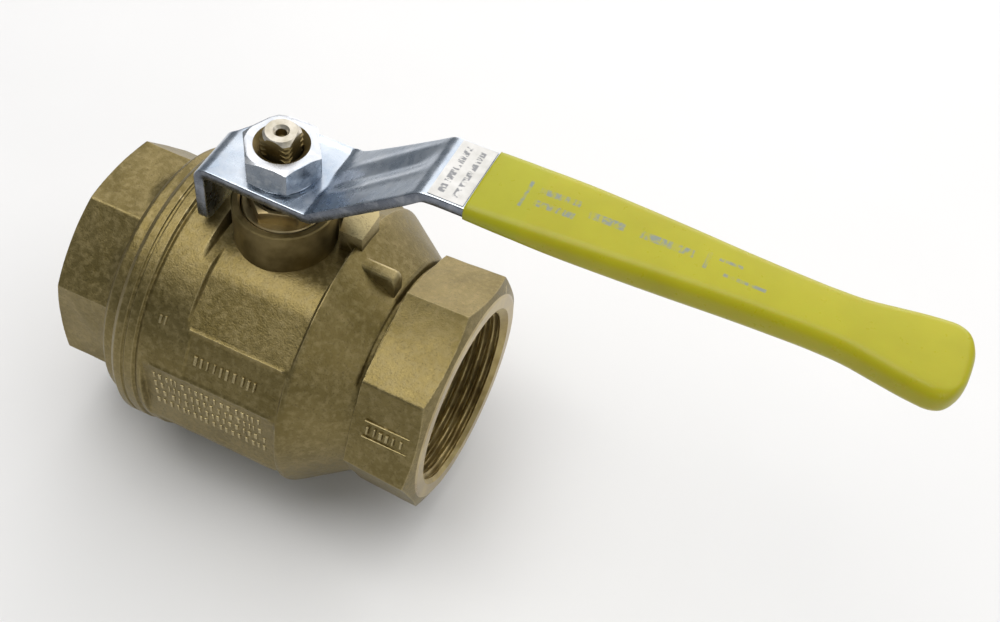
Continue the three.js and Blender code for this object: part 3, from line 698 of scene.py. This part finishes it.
def make_body():
    dense = [(-29.3, -18), (-13.6, -7.8), (16.4, 18.6), (30.8, 34.2), (48.8, BODY_END)]
    x = samples(-JOINT_FACE, BODY_END, 0.6, dense, 0.15)
    chamber = [
        (16.7, SEAT_POCKET, 0.5),
        (9, 30.2, 6),
        (2, 31.0, 2),
        (-17.4, 31.0, 0.3),
        (-17.6, SPIGOT_ROOM, 0.2),
        (-JOINT_FACE, SPIGOT_ROOM, 0),
    ]
    inside = [(BODY_END, THREAD_MOUTH + 0.05, 0)] + socket_path(BODY_END) + chamber
    thing = shell("body_shell", x, body_skin(x), inside, BODY_END, SPIGOT_ROOM)
    for tool in [boss(), closed_stop(), rib(), marks()]:
        combine(thing, tool, "UNION")
    combine(thing, stem_hole(), "DIFFERENCE")
    return finish_piece(
        thing, "body", "housing", [FORGED, MACHINED, THREADS, DARK_BRASS_AND_SHADE], 40, body_finish
    )


def body_finish(centres, normals):
    """0 on the forged skin, 1 on the end faces, 2 in the bore, 3 on the boss, in darker brass that is partly
    painted shade.
    """
    x, y, z = centres.T
    from_stem = np.hypot(x, y)
    from_flow = np.hypot(y, z)
    boss_side = (from_stem < BOSS_RADIUS + 0.08) & (z > 34)
    ends = (np.abs(normals[:, 0]) > 0.85) & ((x > BODY_END - 0.3) | (x < -JOINT_FACE + 0.1))
    inner = (from_flow < THREAD_MOUTH + 0.05) | ((from_flow < 31.8) & (x < 25) & (z < 34))
    return np.where(boss_side, 3, np.where(inner, 2, ends.astype(int)))


def boss():
    path = fillet(
        [
            (WALL_DEPTH, BOSS_RADIUS, 0),
            (BOSS_TOP - 0.3, BOSS_RADIUS, 0),
            (BOSS_TOP, BOSS_RADIUS - 0.35, 0),
            (BOSS_TOP, 10.9, 0),
        ]
    )
    return turned_rod("boss", path, about_z, 160)


def bevelled(thing, width):
    bevel = thing.modifiers.new("edges", "BEVEL")
    bevel.width, bevel.segments, bevel.limit_method = width * MM, 3, "ANGLE"
    apply_modifiers(thing)
    return thing


def closed_stop():
    """The lug that the lever's tab meets when the valve is shut."""
    inner = [(13.7 * math.cos(a), 13.7 * math.sin(a)) for a in np.radians(np.linspace(7, 66, 12))]
    outline = inner + [(5.3, 14.2), (5.3, 19.4), (11, 19.2), (16.5, 15.6), (19.7, 10.5), (19.8, 1.7)]
    return bevelled(prism("closed_stop", outline, WALL_DEPTH, CLOSED_STOP_TOP), 0.35)


def rib():
    """Short upright rib on the cone, in the stem's plane, with rounded upper edges."""
    half, top, end = 1.9, 36.1, 30.6
    turn = np.linspace(0, math.pi / 2, 6)
    loops = []
    for x, drop in ((17, 0), (24, 0), (end - 1.6, 0), (end - 0.9, 0.25), (end - 0.3, 0.9), (end, 1.9)):
        soft, peak = 1.0, top - drop
        right = [(half - soft + soft * math.cos(t), peak - soft + soft * math.sin(t)) for t in turn]
        left = [(-y, z) for y, z in reversed(right)]
        loops.append([(x, y, z) for y, z in [(-half, 24), (half, 24)] + right + left])
    return tube_solid("rib", np.array(loops))


def marks():
    """Rows of plain raised bars where such a valve has its size and rating."""
    rng = np.random.default_rng(4)
    solids = []

    def dash(x0, x1, s0, s1, degrees, base, height=0.45):
        """A raised block on a flat at the given angle; s runs across the flat."""
        out = about_x(0.0, 1.0, math.radians(degrees))
        across = about_x(0.0, 1.0, math.radians(degrees + 90))
        loops = []
        for lift, draw in ((-0.7, 0.0), (height - 0.15, 0.03), (height, 0.14)):
            left, right, low, high = x0 + draw, x1 - draw, s0 + draw, s1 - draw
            corners = [(left, low), (right, low), (right, high), (left, high)]
            loops.append([np.array([x, 0, 0]) + out * (base + lift) + across * s for x, s in corners])
        solids.append(tube_solid("dash", np.array(loops)))

    def row(start, stop, middle, half, degrees, base, height=0.45):
        """A row of plain upright blocks of uneven width and height."""
        x = start
        while x < stop - 0.9:
            width = rng.uniform(0.5, 1.0)
            low = middle - half * rng.uniform(0.75, 1)
            high = middle + half * rng.uniform(0.75, 1)
            dash(x, x + width, low, high, degrees, base, height)
            x += width + rng.uniform(0.6, 1.5)

    for side in (-1, 1):
        row(-6.5, 11, side * 0.4, 1.5, side * 61.75, 37.3)
        for middle in (-8.4, -4.9, -1.4, 2.1):
            row(-17, 14.5, middle, 1.15, side * 90, 36.2, 0.26)
        octagon = (OCTAGON_CORNER - 0.35) * math.cos(math.pi / 8)
        row(37.0, 47.6, 0.2, 1.3, side * 67.5, octagon)
        for s0, s1 in ((-2.5, -2.15), (2.15, 2.5)):
            dash(36.2, 48.3, s0, s1, side * 67.5, octagon, 0.3)
    row(-17.5, -13.5, 0, 1.3, 52, 37.9)
    joined = solids[0]
    with bpy.context.temp_override(active_object=joined, selected_editable_objects=solids):
        bpy.ops.object.join()
    return joined


def stem_hole():
    collar_room, packing_room, gland_seat = 9.8, 9, 10.5
    path = fillet(
        [
            (20, collar_room, 0),
            (34.4, collar_room, 0),
            (34.4, STEM_BORE, 0),
            (38, STEM_BORE, 0),
            (38, packing_room, 0),
            (43.4, packing_room, 0),
            (43.4, gland_seat, 0),
            (BOSS_TOP - 0.5, gland_seat, 0),
            (BOSS_TOP + 0.3, gland_seat + 0.8, 0),
        ]
    )
    return turned_rod("stem_hole", path, about_z, 128)


def connector_skin(x):
    """Flange and octagon; x counts from the joint towards the connector's own end."""
    lathe = fillet(
        [
            (JOINT_FACE + 0.3, 34.9, 0),
            (JOINT_FACE + 0.7, 35.2, 0.2),
            (CAP_OCTAGON_START - 1.6, 35.2, 0.8),
            (CAP_OCTAGON_START - 0.2, 33.6, 0.4),
            (CAP_OCTAGON_START + 0.3, 30.0, 0.5),
            (CAP_END, 24, 0),
        ]
    )
    surface = np.interp(x, lathe[:, 0], lathe[:, 1]) + 0 * ANGLES
    octagon = octagon_radius(ANGLES, CAP_OCTAGON_CORNER, CAP_TURN)
    octagon = soft_min(octagon, 26.35 + (CAP_END - x) * 2.5, 0.2)
    surface = soft_max(surface, octagon, 0.5)
    return surface + forged_ripple(x + 7) * smooth_step(CAP_END - 0.2 - x, 0, 0.5) * smooth_step(x, 30, 31)


def make_end_connector():
    dense = [(JOINT_FACE, 36), (49.0, CAP_END)]
    x = samples(JOINT_FACE + 0.3, CAP_END, 0.6, dense, 0.15)
    groove = SPIGOT_RADIUS - 2.2
    spigot = [
        (SPIGOT_END, SEAT_POCKET, 0),
        (SPIGOT_END, SPIGOT_RADIUS, 1.0),
        (-JOINT_FACE + 3.8, SPIGOT_RADIUS, 0.2),
        (-JOINT_FACE + 3.8, groove, 0.2),
        (-JOINT_FACE + 1.4, groove, 0.2),
        (-JOINT_FACE + 1.4, SPIGOT_RADIUS, 0.2),
        (-JOINT_FACE - 0.3, SPIGOT_RADIUS, 0),
    ]
    inside = [(-CAP_END, THREAD_MOUTH + 0.05, 0)]
    inside += [(-along, radius, rounding) for along, radius, rounding in socket_path(CAP_END)]
    thing = shell("connector_shell", -x, connector_skin(x), inside + spigot, -CAP_END, SPIGOT_RADIUS)
    return finish_piece(
        thing, "end_connector", "housing", [FORGED, MACHINED, THREADS], 40, connector_finish
    )


def connector_finish(centres, normals):
    """0 on the forged skin, 1 on the end face and the spigot, 2 in the bore."""
    x, y, z = centres.T
    from_flow = np.hypot(y, z)
    ends = (np.abs(normals[:, 0]) > 0.85) & (x < -CAP_END + 0.3)
    return np.where(from_flow < THREAD_MOUTH + 0.05, 2, (ends | (x > -JOINT_FACE)).astype(int))


# ---- Ball ----
def make_ball():
    radius, bore = BALL_HIGH[1], BORE_RADIUS
    reach = math.sqrt(radius**2 - bore**2)
    skin = [(radius * math.sin(a), radius * math.cos(a)) for a in np.linspace(-0.86, 0.86, 61)]
    corners = [(-reach, bore + 0.5)] + skin + [(reach, bore + 0.5), (reach - 0.6, bore), (-reach + 0.6, bore)]
    thing = turned_ring("ball_shell", refine(np.array(corners), 2.0), about_x, 192)
    slot = block("slot", (-SLOT_HALF, -40, SLOT_FLOOR), (SLOT_HALF, 40, 40))
    combine(thing, slot, "DIFFERENCE")
    return finish_piece(thing, "ball", "ball", [CHROME], 30)


# ---- Stem, gland nut, lever nut, washer ----
def threaded_rod(name, low, high, radius, pitch, depth, columns=72):
    """A round rod with a helical thread and a chamfered top."""
    z = np.arange(low, high + 1e-6, pitch / 8)[:, None]
    angle = (np.arange(columns) / columns * TURN)[None, :]
    ridge = np.abs(np.mod(z / pitch - angle / TURN, 1.0) - 0.5) * 2
    surface = radius - depth * smooth_step(ridge, 0.1, 0.9)
    surface = np.minimum(surface, radius - 1.3 + (high - z))
    return tube_solid(name, about_z(z + 0 * angle, surface, angle + 0 * z))


def make_stem():
    shoulder, radius, groove = STEM_SHOULDER, STEM_RADIUS, 5.0
    path = fillet(
        [
            (23.8, 9.5, 0),
            (33.5, 9.5, 0.3),
            (33.5, radius, 0),
            (34.9, radius, 0),
            (34.9, groove, 0),
            (36.98, groove, 0),
            (36.98, radius, 0),
            (shoulder, radius, 0.5),
            (shoulder, 4.0, 0),
        ]
    )
    thing = turned_rod("stem_solid", path, about_z, 96)
    tang = block("tang", (-4.4, -20, 20), (4.4, 20, 30.9))
    combine(tang, block("above", (-20, -20, 30.6), (20, 20, 80)), "UNION")
    combine(thing, tang, "INTERSECT")
    top = threaded_rod("top", shoulder - 1, STEM_TOP, 4.95, 1.5, 0.8)
    half = SQUARE_HALF
    square = [(half, -half), (half, half), (-half, half), (-half, -half)]
    combine(top, prism("square", square, shoulder - 2, STEM_TOP + 1), "INTERSECT")
    drilled = [(-3.4, 0.3), (-2.6, 1.2), (-0.7, 1.3), (0.6, 2.5)]
    centre = fillet([(STEM_TOP + above, size, 0) for above, size in drilled])
    combine(top, turned_rod("centre", centre, about_z, 48), "DIFFERENCE")
    combine(thing, top, "UNION")
    return finish_piece(thing, "stem", "handle", [STEM_BRASS, DARK_BRASS_AND_SHADE], 30, stem_finish)


def stem_finish(centres, normals):
    """1 on the threaded sides above the lever, in dark brass as painted shade, 0 elsewhere."""
    return ((centres[:, 2] > 60) & (centres[:, 2] < STEM_TOP - 0.9)).astype(int)


def hex_nut(name, flats, low, high, turn, draw, columns=96):
    """A hexagonal nut with both corners chamfered."""
    corner = flats / 2 / math.cos(math.pi / 6)
    hexagon = prism(name, regular(6, corner, turn), low, high)
    bevel = hexagon.modifiers.new("edges", "BEVEL")
    bevel.width, bevel.segments, bevel.limit_method = 0.25 * MM, 2, "ANGLE"
    apply_modifiers(hexagon)
    rise = draw * 0.58
    path = fillet(
        [
            (low - 0.01, corner - draw, 0),
            (low + rise, corner + 0.02, 0),
            (high - rise, corner + 0.02, 0),
            (high + 0.01, corner - draw, 0),
        ]
    )
    return combine(hexagon, turned_rod("chamfer", path, about_z, columns), "INTERSECT")


def make_lever_nut():
    low, high = NUT_LOW[2], NUT_HIGH[2]
    thing = hex_nut("nut_solid", LEVER_NUT_FLATS, low, high, math.radians(-55), 1.3)
    bore = fillet([(low - 1, 6.2, 0), (low + 0.7, 5.0, 0), (high - 1.4, 5.0, 0), (high + 0.4, 7.0, 0)])
    combine(thing, turned_rod("bore", refine(bore, 0.6), about_z, 72), "DIFFERENCE")
    finishes = [NUT_LIT_ZINC, NUT_SHADED_ZINC, DARK_BRASS_AND_SHADE]
    return finish_piece(thing, "lever_nut", "handle", finishes, 30, nut_finish)


def nut_finish(centres, normals):
    """0 on the ends and chamfers, in lighter zinc as painted highlight; 1 on the flats, in dark zinc as
    painted shade; 2 inside, in dark brass as painted shade.
    """
    inward = np.einsum("ij,ij->i", centres[:, :2], normals[:, :2]) < -0.5
    inside = inward & (np.hypot(centres[:, 0], centres[:, 1]) < 6.9)
    return np.where(inside, 2, (np.abs(normals[:, 2]) < 0.2).astype(int))


def make_gland_nut():
    low, high = GLAND_LOW[2], GLAND_HIGH[2]
    thing = hex_nut("gland_solid", GLAND_FLATS, 45.6, high, 0.35, 1.2)
    nose, threaded = 8.7, 10.2
    lower = fillet(
        [
            (low, nose - 0.4, 0),
            (low + 0.4, nose, 0),
            (43.8, nose, 0),
            (44.2, threaded, 0),
            (46.0, threaded, 0),
            (46.3, threaded - 0.3, 0),
        ]
    )
    combine(thing, turned_rod("threaded_part", lower, about_z, 96), "UNION")
    bore = fillet([(low - 1, 6.8, 0), (high - 0.5, 6.8, 0), (high + 0.5, 7.8, 0)])
    combine(thing, turned_rod("bore", bore, about_z, 96), "DIFFERENCE")
    return finish_piece(thing, "gland_nut", "housing", [MACHINED], 30)


def make_lever_washer():
    low, high = node_box("lever_washer")
    outer, inner = high[0], 5.4
    path = fillet(
        [
            (low[2], outer - 1, 0),
            (low[2], outer, 0.3),
            (high[2], outer, 0.3),
            (high[2], inner, 0.2),
            (low[2], inner, 0.2),
            (low[2], outer - 1, 0),
        ]
    )
    thing = turned_ring("washer_solid", path[:-1], about_z, 96)
    return finish_piece(thing, "lever_washer", "handle", [ZINC], 40)


# ---- Lever ----
def make_lever():
    half = PLATE / 2
    tab_x = LEVER_LOW[0] + half
    end_x = LEVER_HIGH[0]
    head = handle_middle(CRANK_HEAD)
    slope = (head - PLATE_BASE - half) / (CRANK_HEAD - CRANK_FOOT)
    shift = half * math.tan(math.atan(slope) / 2)
    line = fillet(
        [
            (tab_x, LEVER_LOW[2], 0),
            (tab_x, PLATE_BASE + half, 2.5),
            (CRANK_FOOT + shift, PLATE_BASE + half, 2.4),
            (CRANK_HEAD + shift, head, 3.2),
            (end_x, handle_middle(end_x), 0),
        ],
        10,
    )
    line = refine(line, 0.6)
    travelled = np.r_[0, np.cumsum(np.linalg.norm(np.diff(line, axis=0), axis=1))]
    forward = np.gradient(line, axis=0)
    forward /= np.linalg.norm(forward, axis=1, keepdims=True)
    upward = np.c_[-forward[:, 1], forward[:, 0]]
    x = line[:, 0]
    near_points = [(-30, -9.6), (-15, -9.6), (0, -9.8), (13, -9.9), (24, -9.9), (35, -9.9)]
    far_points = [
        (-30, 5), (-17, 5), (-15.1, 5.3), (-13.6, 8.6), (-11.5, 10.9), (-8, 12.6), (-3, 13.4), (8, 13.7),
        (13.4, 13.6), (14.6, 12.4), (17, 11.7), (24, 10.7), (35, 9.5),
    ]
    near = np.interp(x, *zip(*near_points, *[(a, -b) for a, b in STEEL_HALF]))
    far = np.interp(x, *zip(*far_points, *STEEL_HALF))
    for _ in range(3):
        near[1:-1] = (near[:-2] + 2 * near[1:-1] + near[2:]) / 4
        far[1:-1] = (far[:-2] + 2 * far[1:-1] + far[2:]) / 4
    corner = 1.6
    pull = corner - np.sqrt(np.clip(corner**2 - np.clip(corner - travelled, 0, corner) ** 2, 0, None))
    near, far = near + pull, far - pull
    across = np.linspace(0, 1, 37)
    edge = 0.4
    rows = []
    for i in range(len(line)):
        low, high = near[i] + edge, far[i] - edge
        y = low + (high - low) * across
        press = stamped(travelled[i], y, high, travelled, line)
        section = [(yy, half - d) for yy, d in zip(y, press)]
        for t in np.linspace(0, math.pi, 9)[1:-1]:
            rim = (half - edge) * np.sign(math.cos(t)) + edge * math.cos(t)
            section.append((high + edge * math.sin(t), rim - press[-1]))
        section += [(yy, -half - d) for yy, d in zip(y[::-1], press[::-1])]
        for t in np.linspace(math.pi, 0, 9)[1:-1]:
            rim = (half - edge) * np.sign(math.cos(t)) + edge * math.cos(t)
            section.append((low - edge * math.sin(t), rim - press[0]))
        rows.append([(line[i, 0] + upward[i, 0] * n, yy, line[i, 1] + upward[i, 1] * n) for yy, n in section])
    thing = tube_solid("lever_strip", np.array(rows))
    hole = 3.95
    combine(thing, block("hole", (-hole, -hole, 50), (hole, hole, 60)), "DIFFERENCE")
    return finish_piece(thing, "lever", "handle", [ZINC, SHADED_SHEET_EDGE], 35, edge_finish)


def edge_finish(centres, normals):
    """1 on the sheared edges of the sheet, in darker zinc as painted shade, 0 on its faces."""
    return (np.abs(normals[:, 1]) > 0.75).astype(int)


def stamped(distance, y, far, travelled, line):
    """How far the sheet is pressed down: a channel along the crank; the root's far lip is raised."""
    start, stop = np.interp([CRANK_FOOT, CRANK_HEAD], line[:, 0], travelled)
    along = smooth_step(distance, start - 1.5, start + 5)
    along = along * (1 - smooth_step(distance, stop - 7, stop + 1.5))
    middle = 0.6 + 2.0 * (distance - start) / (stop - start)
    channel = 0.7 * np.exp(-(((y - middle) / 2.2) ** 2)) - 0.3 * np.exp(-(((y - middle - 4.6) / 1.3) ** 2))
    channel -= 0.22 * np.exp(-(((y - middle + 4.4) / 1.2) ** 2))
    lip_start = np.interp(-6, line[:, 0], travelled)
    lip = 0.5 * smooth_step(y, far - 1.8, far) * window(distance, lip_start, start + 2, 1.5)
    return channel * along - lip


# ---- Grip ----
def rounded_section(half_width, half_height, rounding, steps=8):
    """A rounded rectangle as [y, z] points, its flats divided so that they can be crowned."""
    r = min(rounding, half_height - 0.02, half_width - 0.02)
    points = []
    for cy, cz, start in ((1, 1, 0), (-1, 1, 90), (-1, -1, 180), (1, -1, 270)):
        for t in np.radians(np.linspace(start, start + 90, steps)):
            points.append((cy * (half_width - r) + r * math.cos(t), cz * (half_height - r) + r * math.sin(t)))
        if start in (0, 180):
            reach = half_width - r
            run = np.linspace(cy * reach, -cy * reach, 9)[1:-1]
            points += [(y, cz * (half_height + 0.22 * (1 - (y / reach) ** 2))) for y in run]
    return np.array(points)


def make_grip():
    end = GRIP_HIGH[0]
    rows = []
    for depth in (12.0, 6.0, 1.5, 0.5):
        x = GRIP_START + depth
        half = np.interp(x, *zip(*STEEL_HALF)) + 0.28
        rows.append(section_at(rounded_section(half, PLATE / 2 + 0.3, 0.5), x))
    rows.append(section_at(rounded_section(9.5, PLATE / 2 + 0.42, 0.6), GRIP_START + 0.05))
    lip, corner, nose = 0.8, 6.6, 3.2
    length, straight = 105, 97
    bend = np.sin(np.linspace(0, math.pi / 2, 26))[1:]
    lip_steps, middle_steps = np.linspace(0, lip, 7), np.linspace(1.4, straight, 130)
    along = np.r_[lip_steps, middle_steps, straight + (length - straight) * bend]
    for x in GRIP_START + along * (end - GRIP_START) / length:
        half_width = curve_through(GRIP_HALF, np.array([x]))[0]
        half_height = curve_through(GRIP_HEIGHT, np.array([x]))[0] - 0.2
        rolled = max(0.0, lip - (x - GRIP_START))
        draw = lip - math.sqrt(lip**2 - rolled**2)
        inward = min(max(0.0, x - (end - corner)), corner)
        half_width -= corner - math.sqrt(corner**2 - inward**2) + 0.5 * draw
        inward = min(max(0.0, x - (end - nose)), nose)
        half_height -= 0.75 * (nose - math.sqrt(nose**2 - inward**2)) + 0.4 * draw
        half_width -= 0.5 * (nose - math.sqrt(nose**2 - inward**2))
        rows.append(section_at(rounded_section(half_width, half_height, 2.9), x))
    thing = tube_solid("grip_sleeve", np.array(rows))
    return finish_piece(thing, "lever_grip", "handle", [VINYL], 60)


def section_at(section, x):
    return np.c_[np.full(len(section), x), section[:, 0], section[:, 1] + handle_middle(x)]


# ---- Build ----
make_body()
make_end_connector()
make_ball()
make_stem()
make_lever_nut()
make_gland_nut()
make_lever_washer()
make_lever()
make_grip()

CARRIED_OVER = {
    "seat_ring_body_side": PTFE,
    "seat_ring_connector_side": PTFE,
    "stem_thrust_washer": PTFE,
    "packing_ring_lower": PTFE,
    "packing_ring_middle": PTFE,
    "packing_ring_upper": PTFE,
    "end_connector_o_ring": RUBBER,
    "stem_o_ring": RUBBER,
    "lever_label": LABEL,
}
for node, material in CARRIED_OVER.items():
    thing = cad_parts[node]
    thing.data.materials.clear()
    thing.data.materials.append(material)


# ---- Stage ----
def add_floor():
    low = CAD_BOX[0]
    size = 4.0
    points = np.array([(-size, -size, 0), (size, -size, 0), (size, size, 0), (-size, size, 0)]) / MM
    floor = add_object("floor", points, [(0, 1, 2, 3)])
    floor.location.z = low.z - 0.0002
    s = Shader("floor_paint")
    s.set(Base_Color=s.mix(s.noise(60.0), colour(0.74, 0.74, 0.74), colour(0.77, 0.77, 0.77)), Roughness=0.7)
    floor.data.materials.append(s.material)


def add_light(name, place, aim, size, power, tint=(1, 1, 1)):
    lamp = bpy.data.lights.new(name, "AREA")
    lamp.shape, lamp.size, lamp.size_y = "RECTANGLE", size[0], size[1]
    lamp.energy, lamp.color = power, tint
    thing = bpy.data.objects.new(name, lamp)
    thing.location = place
    thing.rotation_mode = "QUATERNION"
    thing.rotation_quaternion = (Vector(aim) - Vector(place)).to_track_quat("-Z", "Y")
    bpy.context.scene.collection.objects.link(thing)


def add_world():
    world = bpy.data.worlds.new("studio")
    world.use_nodes = True
    background = world.node_tree.nodes["Background"]
    background.inputs["Color"].default_value = colour(0.9, 0.95, 1.0)
    background.inputs["Strength"].default_value = 0.25
    bpy.context.scene.world = world
    bpy.context.scene.view_settings.view_transform = "Standard"


def add_camera():
    azimuth, elevation, roll = math.radians(18.8), math.radians(52.25), math.radians(8.2)
    distance, right_shift, up_shift = 362.9, 54.7, 1.8
    flat = math.cos(elevation)
    back = Vector((math.sin(azimuth) * flat, -math.cos(azimuth) * flat, math.sin(elevation)))
    level_right = Vector((math.cos(azimuth), math.sin(azimuth), 0))
    level_up = back.cross(level_right)
    right = level_right * math.cos(roll) + level_up * math.sin(roll)
    up = level_up * math.cos(roll) - level_right * math.sin(roll)
    data = bpy.data.cameras.new("camera")
    data.sensor_width, data.lens = 36, 49.9
    data.clip_start, data.clip_end = 0.01, 20
    camera = bpy.data.objects.new("camera", data)
    camera.rotation_mode = "QUATERNION"
    camera.rotation_quaternion = Matrix((right, up, back)).transposed().to_quaternion()
    camera.location = (right * right_shift + up * up_shift + back * distance) * MM
    bpy.context.scene.collection.objects.link(camera)
    bpy.context.scene.camera = camera


add_floor()
add_light("panel_behind", (0.25, 0.5, 0.85), (0.05, 0, 0.03), (2.0, 1.2), 11, (1, 0.98, 0.97))
add_light("key_above", (-0.2, -0.15, 0.95), (0, 0, 0.02), (0.7, 0.7), 5.5, (1, 0.98, 0.95))
add_light("low_behind", (-0.1, 1.1, 0.3), (0.02, 0, 0.03), (1.2, 0.45), 4, (1, 0.96, 0.95))
add_light("fill_right", (0.7, -0.45, 0.4), (0.04, 0, 0.0), (0.5, 0.5), 0.9, (1, 0.97, 0.9))
add_world()
add_camera()
